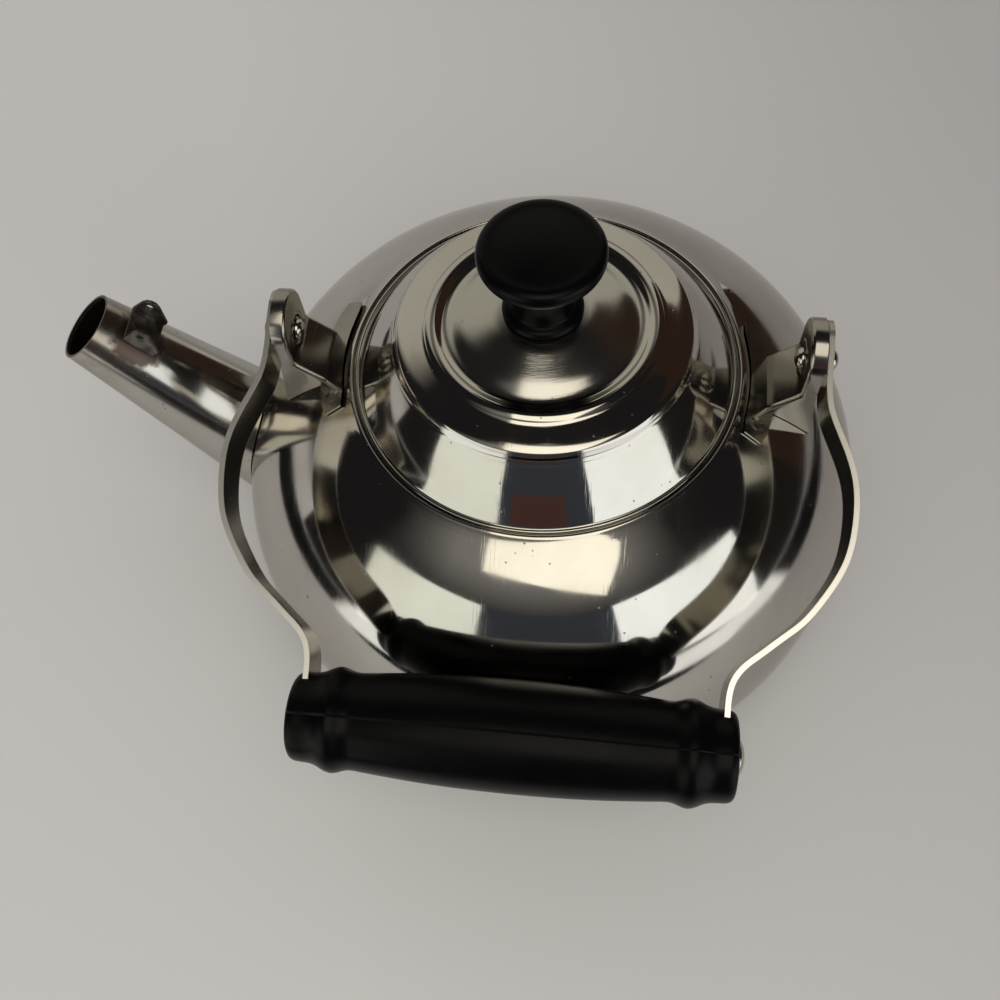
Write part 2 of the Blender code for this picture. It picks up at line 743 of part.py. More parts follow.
def lid_line():
    """Upper face of the lid from the rim to the knob screw hole."""
    rim = [(LID_RADIUS, LID_SEAT),
           (LID_RADIUS, LID_SEAT + LID_RIM_THICKNESS * 0.7),
           (LID_RADIUS - LID_RIM_THICKNESS * 0.5,
            LID_SEAT + LID_RIM_THICKNESS)]
    face = [(a * LID_RADIUS, LID_SEAT + b * LID_RISE)
            for a, b in LID_SHARES]
    return rim, face


def build_lid():
    origin = Vector((0, 0, LID_SEAT))
    rim, face = lid_line()
    bore = SCREW_DIAMETER / 2 + HOLE_PLAY
    face = face + [(bore, LID_TOP)]
    under = offset_line(face, -SHEET)
    under[-1] = (bore, LID_TOP - SHEET)
    under = [p for p in under if p[1] > LID_SEAT + GAP]
    under = [(under[0][0], LID_SEAT)] + under
    make_object("lid_shell", revolve(rim + face + under[::-1], LID_SEGMENTS),
                "polished_steel", origin)

    outer = NECK_RADIUS - LID_PLAY
    top = height_on(under, outer - SHEET) - GAP
    top = min(top, height_on(under, outer) - GAP)
    low = LID_SEAT - SKIRT_DEPTH
    make_object("lid_skirt_ring", revolve(
        [(outer - SHEET, low), (outer, low), (outer, top),
         (outer - SHEET, top)], LID_SEGMENTS), "worn_steel", origin)


def build_knob():
    origin = Vector((0, 0, LID_SEAT))
    radius = KNOB_DIAMETER / 2
    base = LID_TOP + GAP
    bore = SCREW_DIAMETER / 2 + HOLE_PLAY
    depth = SCREW_REACH + GAP
    outline = [(a * radius, base + b * KNOB_HEIGHT) for a, b in KNOB_SHARES]
    profile = ([(0, base + depth), (bore, base + depth), (bore, base)]
               + outline + [(0, base + KNOB_HEIGHT)])
    make_object("lid_knob", revolve(profile, KNOB_SEGMENTS),
                "black_phenolic", origin)

    washer_top = LID_TOP - SHEET - GAP
    washer_low = washer_top - WASHER_THICKNESS
    wide = WASHER_DIAMETER / 2
    make_object("knob_washer", revolve(
        [(bore, washer_low), (wide, washer_low), (wide, washer_top),
         (bore, washer_top)], SMALL_SEGMENTS), "plated_screw", origin)

    head_top = washer_low - GAP
    head = SCREW_HEAD_DIAMETER / 2
    shank = SCREW_DIAMETER / 2
    profile = ([(r, head_top - (z - head_top)) for r, z in
                dome_cap(head, head_top, SCREW_HEAD_HEIGHT)[::-1]]
               + [(shank, head_top), (shank, base + SCREW_REACH),
                  (0, base + SCREW_REACH)])
    screw = make_object("knob_screw", revolve(profile, SMALL_SEGMENTS),
                        "plated_screw")
    low = head_top - SCREW_HEAD_HEIGHT
    wide = SCREW_SLOT_WIDTH / 2
    slot = make_object("slot", prism(
        [(-wide, low - SCREW_SLOT_DEPTH), (wide, low - SCREW_SLOT_DEPTH),
         (wide, low + SCREW_SLOT_DEPTH), (-wide, low + SCREW_SLOT_DEPTH)],
        -head, head, lambda u, v, w: Vector((u, w, v))), "plated_screw")
    combine(screw, slot, "DIFFERENCE")
    set_origin(screw, origin)


clear_scene()
build_body()
build_spout()
build_lug()
for SIDE in (-1, 1):
    build_bracket(SIDE)
    build_pivot(SIDE)
    build_strap(SIDE)
build_grip()
build_lid()
build_knob()
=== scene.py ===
# %% [markdown]
# # A stovetop tea kettle
# This lesson dresses a finished CAD kettle so that it looks like the worn, polished steel one in a photograph.
# The CAD frame brings every solid in metres, with the base on z = 0, the spout towards -X and the bail folded
# towards -Y. We keep its sizes, and swap the faceted solids for smooth ones wherever steel mirrors the room.

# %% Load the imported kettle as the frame
import math

import bmesh
import bpy
import numpy as np
from mathutils import Matrix, Vector
from mathutils.bvhtree import BVHTree


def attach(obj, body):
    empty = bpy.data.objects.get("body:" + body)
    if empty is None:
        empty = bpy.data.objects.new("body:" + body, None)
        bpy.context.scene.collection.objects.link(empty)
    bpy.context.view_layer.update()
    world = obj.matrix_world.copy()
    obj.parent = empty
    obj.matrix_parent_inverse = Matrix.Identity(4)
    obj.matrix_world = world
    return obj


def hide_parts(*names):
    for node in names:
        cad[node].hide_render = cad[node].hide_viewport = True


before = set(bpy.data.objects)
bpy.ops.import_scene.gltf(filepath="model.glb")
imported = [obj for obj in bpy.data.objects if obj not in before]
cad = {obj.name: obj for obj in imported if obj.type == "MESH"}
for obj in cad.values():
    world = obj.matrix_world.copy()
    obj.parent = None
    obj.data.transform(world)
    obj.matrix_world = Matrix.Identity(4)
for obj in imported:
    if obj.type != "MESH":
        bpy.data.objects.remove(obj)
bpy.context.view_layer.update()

# %% [markdown]
# ## The camera
# The photograph was taken from above and in front, with a little roll. The place and the directions below were
# solved from the ellipses of the lid, the body and the bail, so they go straight into a matrix.
# A focal length of 37.8 mm on a 36 mm wide square picture gives the same perspective.

# %% Camera at the photograph's viewpoint
CAMERA_PLACE = Vector((0.01982, -0.17432, 0.3416))
CAMERA_RIGHT = Vector((0.99255, 0.10934, -0.05379))
CAMERA_UP = Vector((-0.07241, 0.8843, 0.46128))

camera_data = bpy.data.cameras.new("camera")
camera_data.lens = 37.8
camera_data.sensor_width = 36
camera_data.clip_start = 0.01
camera = bpy.data.objects.new("camera", camera_data)
bpy.context.scene.collection.objects.link(camera)
turn = Matrix((CAMERA_RIGHT, CAMERA_UP, CAMERA_RIGHT.cross(CAMERA_UP))).transposed()
camera.matrix_world = Matrix.Translation(CAMERA_PLACE) @ turn.to_4x4()
bpy.context.scene.camera = camera
print("camera:", round(CAMERA_PLACE.length, 3), "m from the middle of the base")

# %% [markdown]
# ## Sizes that the pieces share
# Each value repeats one of the CAD kettle's few governing sizes, so that a smooth piece lands exactly where its
# plain solid was. The bail turns about the pivot line and rests a little below level.

# %% Sizes in metres
SHEET = 0.0008
GAP = 0.0003
LID_SEAT = 0.0903
PIVOT = Vector((0, 0, 0.0998))
BAIL_REACH = 0.1082
REST_ANGLE = math.radians(16.9304)
print("the folded bail's grip is", round(PIVOT.z - BAIL_REACH * math.sin(REST_ANGLE), 4), "m above the table")

# %% [markdown]
# ## Helpers for round things
# A kettle is spun from discs of sheet, and Blender's spin operator is the same idea: a line turned round an axis.
# A mirror finish shows every kink in that line, so `fair_line` runs a cubic spline through a few chosen points.
# `sheet_loop` moves the line sideways by the sheet's thickness and closes it, which gives the wall its two faces.

# %% Helper: a fair line
def fair_line(points, count):
    """count points along the natural cubic spline through the given ones."""
    p = np.array(points, float)
    reach = np.r_[0, np.cumsum(np.linalg.norm(np.diff(p, axis=0), axis=1))]
    span = np.diff(reach)
    system, right = np.eye(len(p)), np.zeros_like(p)
    for i in range(1, len(p) - 1):
        system[i, i - 1:i + 2] = span[i - 1], 2 * (span[i - 1] + span[i]), span[i]
        right[i] = 6 * ((p[i + 1] - p[i]) / span[i] - (p[i] - p[i - 1]) / span[i - 1])
    bend = np.linalg.solve(system, right)
    t = np.linspace(0, reach[-1], count)
    k = np.clip(np.searchsorted(reach, t, side="right") - 1, 0, len(span) - 1)
    a, b, h = (reach[k + 1] - t)[:, None], (t - reach[k])[:, None], span[k][:, None]
    line = (bend[k] * a ** 3 / (6 * h) + bend[k + 1] * b ** 3 / (6 * h)
            + (p[k] / h - bend[k] * h / 6) * a + (p[k + 1] / h - bend[k + 1] * h / 6) * b)
    return [tuple(q) for q in line]


print("an arch through 3 points is", round(fair_line([(0, 0), (1, 1), (2, 0)], 5)[1][1], 3), "high at a quarter")


# %% Helper: the wall's second face
def sideways(line, distance):
    """The line moved to the right of its direction."""
    p = np.array(line, float)
    step = np.diff(p, axis=0)
    step /= np.linalg.norm(step, axis=1)[:, None]
    normal = np.c_[step[:, 1], -step[:, 0]]
    both = np.vstack([normal[:1], normal[1:] + normal[:-1], normal[-1:]])
    both /= np.linalg.norm(both, axis=1)[:, None]
    lean = np.vstack([normal[:1], normal])
    stretch = np.maximum((both * lean).sum(axis=1), 0.6)
    return [tuple(q) for q in p + both * (distance / stretch)[:, None]]


def sheet_loop(line, thickness=SHEET):
    """Closed loop around a wall whose visible face is the line."""
    return list(line) + sideways(line, -thickness)[::-1]


print("a wall 50 mm high as a loop:", sheet_loop([(0.1, 0.0), (0.1, 0.05)]))


# %% Helper: spin a loop, and stand it on an axis
def spun(loop, steps=144, place=Matrix.Identity(4), closed=True):
    """A bmesh that turns a (radius, height) loop around local Z."""
    bm = bmesh.new()
    chain = [bm.verts.new((r, 0, z)) for r, z in loop]
    pairs = list(zip(chain, chain[1:])) + ([(chain[-1], chain[0])] if closed else [])
    edges = [bm.edges.new(pair) for pair in pairs]
    bmesh.ops.spin(bm, geom=chain + edges, cent=(0, 0, 0), axis=(0, 0, 1),
                   angle=math.tau, steps=steps, use_merge=True)
    bmesh.ops.remove_doubles(bm, verts=bm.verts, dist=1e-6)
    bmesh.ops.dissolve_degenerate(bm, edges=bm.edges, dist=1e-7)
    bmesh.ops.transform(bm, matrix=place, verts=bm.verts)
    return bm


def along(origin, direction):
    """Frame at origin whose local Z runs along the direction."""
    return Matrix.Translation(origin) @ Vector(direction).to_track_quat("Z", "Y").to_matrix().to_4x4()


print("a frame that looks along X:", along((0, 0, 0), (1, 0, 0)).to_3x3().col[2][:])

# %% [markdown]
# ## From a bmesh to a finished piece
# Each piece keeps its object at the origin with its place in its mesh. Smooth shading is split where two faces
# meet at more than the crease angle, so that a cut edge stays crisp next to a polished curve. A narrow Bevel
# modifier on the corners of cut sheet catches the light as a filed edge does.

# %% Helpers: finish a piece, and break its sharp edges
def finished(name, bm, material, body, nodes=(), crease=32):
    """The bmesh as an object that rides on a body and stands for the named CAD nodes."""
    bmesh.ops.recalc_face_normals(bm, faces=bm.faces)
    if bm.calc_volume(signed=True) < 0:
        bmesh.ops.reverse_faces(bm, faces=bm.faces)
    for face in bm.faces:
        face.smooth = True
    for edge in bm.edges:
        edge.smooth = edge.calc_face_angle(0) < math.radians(crease)
    mesh = bpy.data.meshes.new(name)
    bm.to_mesh(mesh)
    bm.free()
    mesh.materials.append(material)
    piece = bpy.data.objects.new(name, mesh)
    bpy.context.scene.collection.objects.link(piece)
    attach(piece, body)
    if nodes:
        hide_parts(*nodes)
    print(f"{name}: {len(mesh.polygons)} faces")
    return piece


def filed_edges(piece, width, segments, angle):
    """Live bevel on the edges whose faces meet at more than the angle, in degrees."""
    edge = piece.modifiers.new("edge", "BEVEL")
    edge.width, edge.segments, edge.limit_method = width, segments, "ANGLE"
    edge.angle_limit = math.radians(angle)


# %% [markdown]
# ## Short calls for node trees
# A worn surface takes some thirty nodes. The class below wraps a node tree, so that one call makes a node, fills
# its inputs with numbers or with other nodes' outputs, and hands back the output that the next call needs.

# %% Helper: a node tree with short calls
class Nodes:
    """One method for each kind of node that the materials use."""

    def __init__(self, tree):
        self.tree = tree

    def put(self, socket, value):
        """Link an output to the socket, or set a plain number on it."""
        if isinstance(value, bpy.types.NodeSocket):
            self.tree.links.new(value, socket)
        else:
            socket.default_value = value

    def math(self, operation, a, b=0.0, c=0.0):
        node = self.tree.nodes.new("ShaderNodeMath")
        node.operation = operation
        for socket, value in zip(node.inputs, (a, b, c)):
            self.put(socket, value)
        return node.outputs[0]

    def remap(self, value, low, high, to_low=0.0, to_high=1.0):
        node = self.tree.nodes.new("ShaderNodeMapRange")
        for socket, number in zip(node.inputs, (value, low, high, to_low, to_high)):
            self.put(socket, number)
        return node.outputs["Result"]

    def between(self, value, low, high, soft):
        """1 between low and high, with soft ends."""
        return self.math("MULTIPLY", self.remap(value, low - soft, low + soft),
                         self.remap(value, high + soft, high - soft))

    def noise(self, place, scale, detail=2.0, rough=0.5):
        node = self.tree.nodes.new("ShaderNodeTexNoise")
        self.put(node.inputs["Vector"], place)
        node.inputs["Scale"].default_value = scale
        node.inputs["Detail"].default_value = detail
        node.inputs["Roughness"].default_value = rough
        return node.outputs["Fac"]

    def stretched(self, place, angles, scale):
        node = self.tree.nodes.new("ShaderNodeMapping")
        self.put(node.inputs["Vector"], place)
        node.inputs["Rotation"].default_value = angles
        node.inputs["Scale"].default_value = scale
        return node.outputs["Vector"]

    def mix(self, share, a, b):
        node = self.tree.nodes.new("ShaderNodeMix")
        node.data_type = "RGBA"
        self.put(node.inputs["Factor"], share)
        self.put(node.inputs["A"], a)
        self.put(node.inputs["B"], b)
        return node.outputs["Result"]

    def vector(self, operation, a, b=(0, 0, 0), output=0):
        node = self.tree.nodes.new("ShaderNodeVectorMath")
        node.operation = operation
        self.put(node.inputs[0], a)
        self.put(node.inputs[1], b)
        return node.outputs[output]

    def parts(self, place):
        node = self.tree.nodes.new("ShaderNodeSeparateXYZ")
        self.put(node.inputs[0], place)
        return node.outputs[0], node.outputs[1], node.outputs[2]

    def size(self, a, b):
        """Length of a pair."""
        return self.math("SQRT", self.math("MULTIPLY_ADD", a, a, self.math("MULTIPLY", b, b)))

    def bump(self, height, strength, distance, normal=None):
        node = self.tree.nodes.new("ShaderNodeBump")
        self.put(node.inputs["Height"], height)
        if normal:
            self.put(node.inputs["Normal"], normal)
        node.inputs["Strength"].default_value = strength
        node.inputs["Distance"].default_value = distance
        return node.outputs["Normal"]


# %% Helper: a fresh material on Object coordinates
def new_material(name):
    made = bpy.data.materials.new(name)
    made.use_nodes = True
    shader = made.node_tree.nodes["Principled BSDF"]
    nodes = Nodes(made.node_tree)
    place = made.node_tree.nodes.new("ShaderNodeTexCoord").outputs["Object"]
    print("material:", name)
    return made, shader, nodes, place


# %% [markdown]
# ## Steel
# Polished stainless sheet is a metal with a very low roughness. Years of use leave three things on it: patches
# that are a little duller, hair-fine scratches, and small dark specks and pits. Each comes from a noise texture
# on Object coordinates, so the marks stay on the metal from every side.

# %% Helpers: scratches and pits
HAIR_TURNS = ((0.3, 0.9, 0.7), (1.1, -0.4, -0.9), (-0.8, 0.5, 2.2), (1.9, 0.3, 1.2))
HAIR_STRETCH = (2600, 40, 110)


def hair_scratches(nodes, place):
    """Noise drawn out into hairs, in four directions, that comes and goes over the surface."""
    hairs = 0
    for angles in HAIR_TURNS:
        hair = nodes.noise(nodes.stretched(place, angles, HAIR_STRETCH), 1, 2)
        hairs = nodes.math("MAXIMUM", nodes.remap(hair, 0.64, 0.80), hairs)
    return nodes.math("MULTIPLY", hairs, nodes.remap(nodes.noise(place, 45, 2), 0.35, 0.6, 0.25, 1))


def speckle(nodes, place, scale, share, size):
    """1 on small round spots that only some cells of a Voronoi pattern have."""
    cell = nodes.tree.nodes.new("ShaderNodeTexVoronoi")
    nodes.put(cell.inputs["Vector"], place)
    cell.inputs["Scale"].default_value = scale
    near = nodes.remap(cell.outputs["Distance"], size * 0.4, size, 1.0, 0.0)
    pick = nodes.tree.nodes.new("ShaderNodeSeparateColor")
    nodes.put(pick.inputs[0], cell.outputs["Color"])
    chosen = nodes.remap(pick.outputs[0], 1 - share, 1 - share + 0.01)
    return nodes.math("MULTIPLY", near, chosen)


# %% Steel with haze, scratches and specks
WORN_SHARES = (0.88, 0.85, 0.80)
PIT_COLOUR = (0.14, 0.12, 0.10, 1)
STEEL_TINT = (0.80, 0.79, 0.77, 1)


def steel(name, colour=(0.56, 0.545, 0.515), smooth=0.045, dull=0.15, specks=0.10, scratch=0.08,
          marks=None, relief=None):
    """Roughness goes from smooth to dull with the haze. marks gives (mask, colour, roughness) for stains, painted
    shade and painted highlights on top, and relief gives the height, strength and depth of pressed or brushed marks."""
    made, shader, nodes, place = new_material(name)
    shader.inputs["Metallic"].default_value = 1
    shader.inputs["Specular Tint"].default_value = STEEL_TINT
    haze = nodes.noise(place, 26, 4, 0.6)
    hairs = hair_scratches(nodes, place)
    spots = nodes.math("MAXIMUM", speckle(nodes, place, 430, specks, 0.17),
                       speckle(nodes, place, 140, specks * 0.5, 0.10))
    rough = nodes.math("MULTIPLY_ADD", hairs, scratch, nodes.remap(haze, 0.35, 0.75, smooth, dull))
    rough = nodes.math("MULTIPLY_ADD", spots, 0.3, rough)
    worn_colour = tuple(c * k for c, k in zip(colour, WORN_SHARES))
    tint = nodes.mix(nodes.remap(haze, 0.35, 0.75), (*colour, 1), (*worn_colour, 1))
    tint = nodes.mix(nodes.math("MULTIPLY", spots, 0.75), tint, PIT_COLOUR)
    # marks mix stains, painted shade and painted highlights into the colour and roughness
    for mask, stain_or_painted_light, roughness in (marks(nodes, place) if marks else []):
        tint = nodes.mix(mask, tint, (*stain_or_painted_light, 1))
        rough = nodes.math("MULTIPLY_ADD", mask, nodes.math("SUBTRACT", roughness, rough), rough)
    nodes.put(shader.inputs["Base Color"], tint)
    nodes.put(shader.inputs["Roughness"], rough)
    height = nodes.math("MULTIPLY_ADD", hairs, -0.10, nodes.math("MULTIPLY", spots, -0.35))
    pressed = nodes.bump(*relief(nodes, place)) if relief else None
    nodes.put(shader.inputs["Normal"], nodes.bump(height, 0.15, 0.0002, pressed))
    return made


polished = steel("polished_steel_sheet")
worn = steel("worn_steel_bar", (0.46, 0.445, 0.42), 0.16, 0.32, 0.16, 0.16)

# %% [markdown]
# ## The lid's brushed top
# The low dome under the knob was brushed as the lid turned on the lathe. Its rings are a noise that runs fast
# with the radius and slowly with the angle, and the disc is a little duller than the rest.

# %% Lid steel
LID_DISC = 0.0261
LID_DISC_EDGE = 0.0266


def brushed_top(nodes, place):
    x, y, _ = nodes.parts(place)
    disc = nodes.remap(nodes.size(x, y), LID_DISC_EDGE, LID_DISC)
    return [(nodes.math("MULTIPLY", disc, 0.7), (0.45, 0.435, 0.405), 0.19)]


def turned_rings(nodes, place):
    x, y, _ = nodes.parts(place)
    radius = nodes.size(x, y)
    join = nodes.tree.nodes.new("ShaderNodeCombineXYZ")
    nodes.put(join.inputs[0], nodes.math("MULTIPLY", radius, 5200))
    nodes.put(join.inputs[1], nodes.math("MULTIPLY", nodes.math("ARCTAN2", x, y), 1.5))
    rings = nodes.noise(join.outputs[0], 1, 2)
    return nodes.math("MULTIPLY", rings, nodes.remap(radius, LID_DISC_EDGE, LID_DISC)), 0.10, 0.0002


lid_steel = steel("polished_steel_lid", marks=brushed_top, relief=turned_rings)

# %% [markdown]
# ## Pressed marks on the brackets
# A press left a coined ring round each pivot hole, and a spot welder left a round dimple in the near end of each
# foot. Both are shallow, so a bump is enough. Taking absolute values of x and y serves both brackets at once.

# %% Bracket steel
WELD_X, WELD_Y = 0.0607, -0.0150


def bracket_presses(nodes, place):
    x, y, z = nodes.parts(nodes.vector("ABSOLUTE", place))
    _, front, _ = nodes.parts(place)
    weld = nodes.size(nodes.math("SUBTRACT", x, WELD_X), nodes.math("SUBTRACT", front, WELD_Y))
    ring = nodes.between(nodes.size(y, nodes.math("SUBTRACT", z, PIVOT.z)), 0.0040, 0.0052, 0.0004)
    ring = nodes.math("MULTIPLY", ring, nodes.remap(x, 0.0703, 0.0706))
    return nodes.math("SUBTRACT", ring, nodes.remap(weld, 0.0021, 0.0012)), 0.9, 0.0005


bracket_steel = steel("pressed_steel_bracket", (0.36, 0.345, 0.32), 0.12, 0.24, 0.16, 0.14, relief=bracket_presses)

# %% [markdown]
# ## Soot and painted shade on the spout
# Steam and flame mark a spout: it is brown by the mouth and sooty round the lug that once held a whistle, and its
# inside is painted nearly black as shade. The masks are distances in the spout's own frame, broken up with noise so
# that no stain has a clean rim.

# %% The spout's own frame
SPOUT_MOUTH = Vector((-0.1370, 0, 0.0951))
SPOUT_SLOPE = math.radians(52.4)
SPOUT_TAPER = math.tan(math.radians(6.6))
SPOUT_MOUTH_RADIUS = 0.01065
inward = Vector((math.cos(SPOUT_SLOPE), 0, -math.sin(SPOUT_SLOPE)))
spout_up = Vector((math.sin(SPOUT_SLOPE), 0, math.cos(SPOUT_SLOPE)))
LUG_FOOT = SPOUT_MOUTH + inward * 0.0118 + spout_up * 0.0120 - Vector((0, 0.0025, 0))
print("the lug stands at", [round(c, 4) for c in LUG_FOOT])


# %% Spout steel and lug steel
def spout_soot_and_painted_shade(nodes, place):
    """Painted shade inside, brown tint by the mouth and on top, and soot round the lug."""
    offset = nodes.vector("SUBTRACT", place, tuple(SPOUT_MOUTH))
    depth = nodes.vector("DOT_PRODUCT", offset, tuple(inward), 1)
    high = nodes.vector("DOT_PRODUCT", offset, tuple(spout_up), 1)
    radius = nodes.size(high, nodes.parts(offset)[1])
    # painted shade: the inside of the spout is painted nearly black
    painted_shade_inside = nodes.remap(nodes.math("MULTIPLY_ADD", depth, -SPOUT_TAPER, radius), 0.01030, 0.01018)
    painted_shade_inside = nodes.math("MULTIPLY", painted_shade_inside, nodes.remap(depth, 0.0001, 0.0012))
    patchy = nodes.remap(nodes.noise(place, 260, 4, 0.65), 0.38, 0.66)
    mouth = nodes.math("MULTIPLY", nodes.remap(depth, 0.020, 0.004, 0, 0.55), patchy)
    upper = nodes.math("MULTIPLY", nodes.between(depth, -0.001, 0.012, 0.003),
                       nodes.remap(high, 0.004, 0.009, 0, 0.6))
    stain_or_painted_light = nodes.vector("DISTANCE", place, tuple(LUG_FOOT), 1)
    stain_or_painted_light = nodes.math("MULTIPLY_ADD", nodes.noise(place, 420, 3), 0.006, stain_or_painted_light)
    stain_or_painted_light = nodes.remap(stain_or_painted_light, 0.0122, 0.0098, 0, 0.85)
    return [(mouth, (0.30, 0.25, 0.19), 0.25), (upper, (0.30, 0.25, 0.21), 0.22),
            (stain_or_painted_light, (0.085, 0.055, 0.04), 0.42), (painted_shade_inside, (0.030, 0.022, 0.016), 0.55)]


def lug_soot(nodes, place):
    return [(nodes.remap(nodes.noise(place, 330, 3), 0.38, 0.6, 0.55, 0.95), (0.075, 0.068, 0.062), 0.36)]


spout_steel = steel("polished_steel_spout", (0.52, 0.505, 0.475), 0.12, 0.22, marks=spout_soot_and_painted_shade)
lug_steel = steel("sooty_steel_lug", (0.40, 0.385, 0.36), 0.18, 0.30, 0.16, 0.16, marks=lug_soot)

# %% [markdown]
# ## Painted highlight on the straps' edges
# Straps are sheared from strip. Their narrow sides get a painted highlight that makes them brighter than their faces,
# and the faces are mixed half way to a darker tone. The distance off the bail's middle plane tells the two apart.

# %% Strap steel
STRAP_EDGE = 0.0061


def painted_edge_highlight(nodes, place):
    offset = nodes.vector("SUBTRACT", place, tuple(PIVOT))
    off = nodes.vector("DOT_PRODUCT", offset, (0, -math.sin(REST_ANGLE), math.cos(REST_ANGLE)), 1)
    off = nodes.math("ABSOLUTE", off)
    # painted highlight on the narrow sides, then the faces mixed half way to a darker tone
    return [(nodes.remap(off, STRAP_EDGE, STRAP_EDGE + 0.0002), (0.88, 0.85, 0.81), 0.32),
            (nodes.remap(off, STRAP_EDGE, STRAP_EDGE - 0.0002, 0, 0.5), (0.36, 0.33, 0.28), 0.20)]


strap_steel = steel("flat_steel_strap", (0.50, 0.48, 0.44), 0.10, 0.20, marks=painted_edge_highlight)

# %% [markdown]
# ## Black phenolic
# The knob and the grip are moulded phenolic. It is a hard plastic with a soft gloss that wear turns slightly
# uneven, so one wide noise moves its roughness and a fine one gives it a faint skin. The grip also has the thin
# raised line where the two halves of its mould met, a little above the side that faces out.

# %% Phenolic material
GRIP_Y = PIVOT.y - BAIL_REACH * math.cos(REST_ANGLE)
GRIP_Z = PIVOT.z - BAIL_REACH * math.sin(REST_ANGLE)
SEAM_ANGLE = math.radians(79)
SEAM_WIDTH = 0.00035


def phenolic(name, gloss=0.26, seam=None):
    made, shader, nodes, place = new_material(name)
    shader.inputs["Base Color"].default_value = (0.0014, 0.0014, 0.0016, 1)
    shader.inputs["Specular IOR Level"].default_value = 0.10
    wear = nodes.noise(place, 60, 4, 0.6)
    nodes.put(shader.inputs["Roughness"], nodes.remap(wear, 0.3, 0.75, gloss, gloss + 0.14))
    flash = nodes.bump(seam(nodes, place), 0.8, 0.0003) if seam else None
    nodes.put(shader.inputs["Normal"], nodes.bump(nodes.noise(place, 1500, 2), 0.05, 0.0001, flash))
    return made


def parting_line(nodes, place):
    _, y, z = nodes.parts(place)
    off = nodes.math("MULTIPLY_ADD", nodes.math("SUBTRACT", y, GRIP_Y), math.sin(SEAM_ANGLE),
                     nodes.math("MULTIPLY", nodes.math("SUBTRACT", z, GRIP_Z), math.cos(SEAM_ANGLE)))
    return nodes.remap(nodes.math("ABSOLUTE", off), 0.0, SEAM_WIDTH, 1, 0)


black = phenolic("black_phenolic_moulding")
grip_black = phenolic("black_phenolic_grip", seam=parting_line)

# %% [markdown]
# ## The spun body
# One disc of sheet is spun to the dome, the lip, the ledge that the lid sits on and the short neck. The dome's
# line is a fair curve through points read off the kettle's outline, and the small radii at the lip are short runs
# of points of their own.

# %% Body shell
DOME_POINTS = [
    (0.0962, 0.0070), (0.0978, 0.0110), (0.0989, 0.0175), (0.0992, 0.0260), (0.0989, 0.0350), (0.0979, 0.0425),
    (0.0960, 0.0495), (0.0930, 0.0565), (0.0889, 0.0633), (0.0839, 0.0696), (0.0780, 0.0756), (0.0714, 0.0812),
    (0.0647, 0.0859), (0.0590, 0.0894)]
LIP_POINTS = [
    (0.0590, 0.0894), (0.0578, 0.0902), (0.0571, 0.0907), (0.0566, 0.09105), (0.0561, 0.09118), (0.05575, 0.0910),
    (0.05562, 0.0905), (0.0556, 0.0901)]
LEDGE_POINTS = [
    (0.05545, 0.0900), (0.0532, 0.0900), (0.0525, 0.08975), (0.0522, 0.0892), (0.0522, 0.0850)]
dome = fair_line(DOME_POINTS, 90)
body_line = dome[:-1] + fair_line(LIP_POINTS, 26) + LEDGE_POINTS
finished("kettle_body", spun(sheet_loop(body_line), 180), polished, "kettle", ["body_shell"])

# %% [markdown]
# ## The base pan
# A second, shallow pan closes the kettle from below. Its wall stands inside the body's foot, where the two are
# lapped and seamed. Its line starts on the axis, so the spin leaves it open there and no loop is closed.

# %% Base pan
pan_edge = fair_line([(0.0850, 0), (0.0903, 0.0011), (0.0933, 0.0036), (0.0947, 0.0070)], 16)
pan_line = [(0, 0)] + pan_edge + [(0.0947, 0.0110)]
finished("base_pan_spun", spun(sheet_loop(pan_line), 144, closed=False), worn, "kettle", ["base_pan"])

# %% [markdown]
# ## The spout
# The spout is a straight cone of sheet, cut square at the mouth and cut like a saddle where it meets the dome.
# We extrude a circle along the spout's axis, and then slide each point of a ring along its own line of the cone
# until a ray meets the dome. That is how a metalworker scribes such a cut.

# %% Spout tube
SPOUT_CLEARANCE = GAP * 1.2
dome_tree = BVHTree.FromBMesh(spun([(0.0945, 0.0)] + dome, 360, closed=False))


def cone_tube(rings=40, around=96):
    """Cone wall drawn as one band: down the outer face, across the cut, back up the inner face, over the mouth."""
    bm = bmesh.new()
    rows = [bmesh.ops.create_circle(bm, segments=around, radius=SPOUT_MOUTH_RADIUS)["verts"]]
    stations = [(0, k) for k in range(rings + 1)] + [(SHEET, k) for k in range(rings, -1, -1)] + [(0, 0)]
    edges = bm.edges[:]
    for _ in stations[1:]:
        grown = bmesh.ops.extrude_edge_only(bm, edges=edges)["geom"]
        edges = [g for g in grown if isinstance(g, bmesh.types.BMEdge)]
        rows.append([g for g in grown if isinstance(g, bmesh.types.BMVert)])
    place = along(SPOUT_MOUTH, inward)
    for (inset, k), row in zip(stations, rows):
        for vert in row:
            flat = Vector((vert.co.x, vert.co.y)).normalized()
            begin = place @ (flat * (SPOUT_MOUTH_RADIUS - inset)).to_3d()
            aim = (place.to_3x3() @ ((flat * SPOUT_TAPER).to_3d() + Vector((0, 0, 1)))).normalized()
            reach = dome_tree.ray_cast(begin, aim)[3] - SPOUT_CLEARANCE
            vert.co = begin + aim * reach * k / rings
    bmesh.ops.remove_doubles(bm, verts=bm.verts, dist=1e-6)
    return bm


finished("spout_cone", cone_tube(), spout_steel, "kettle", ["spout_tube"])

# %% [markdown]
# ## The lid
# The lid is pressed in steps: a thin flat rim, a rounded cone, a narrow step ring, a bead and a low inner dome
# under the knob. Each stretch is its own fair line, so the creases between them stay where the press put them.

# %% Lid shell
def on_lid(points):
    """(radius, height over the seat) in millimetres to metres in the kettle's frame."""
    return [(r / 1000, LID_SEAT + z / 1000) for r, z in points]


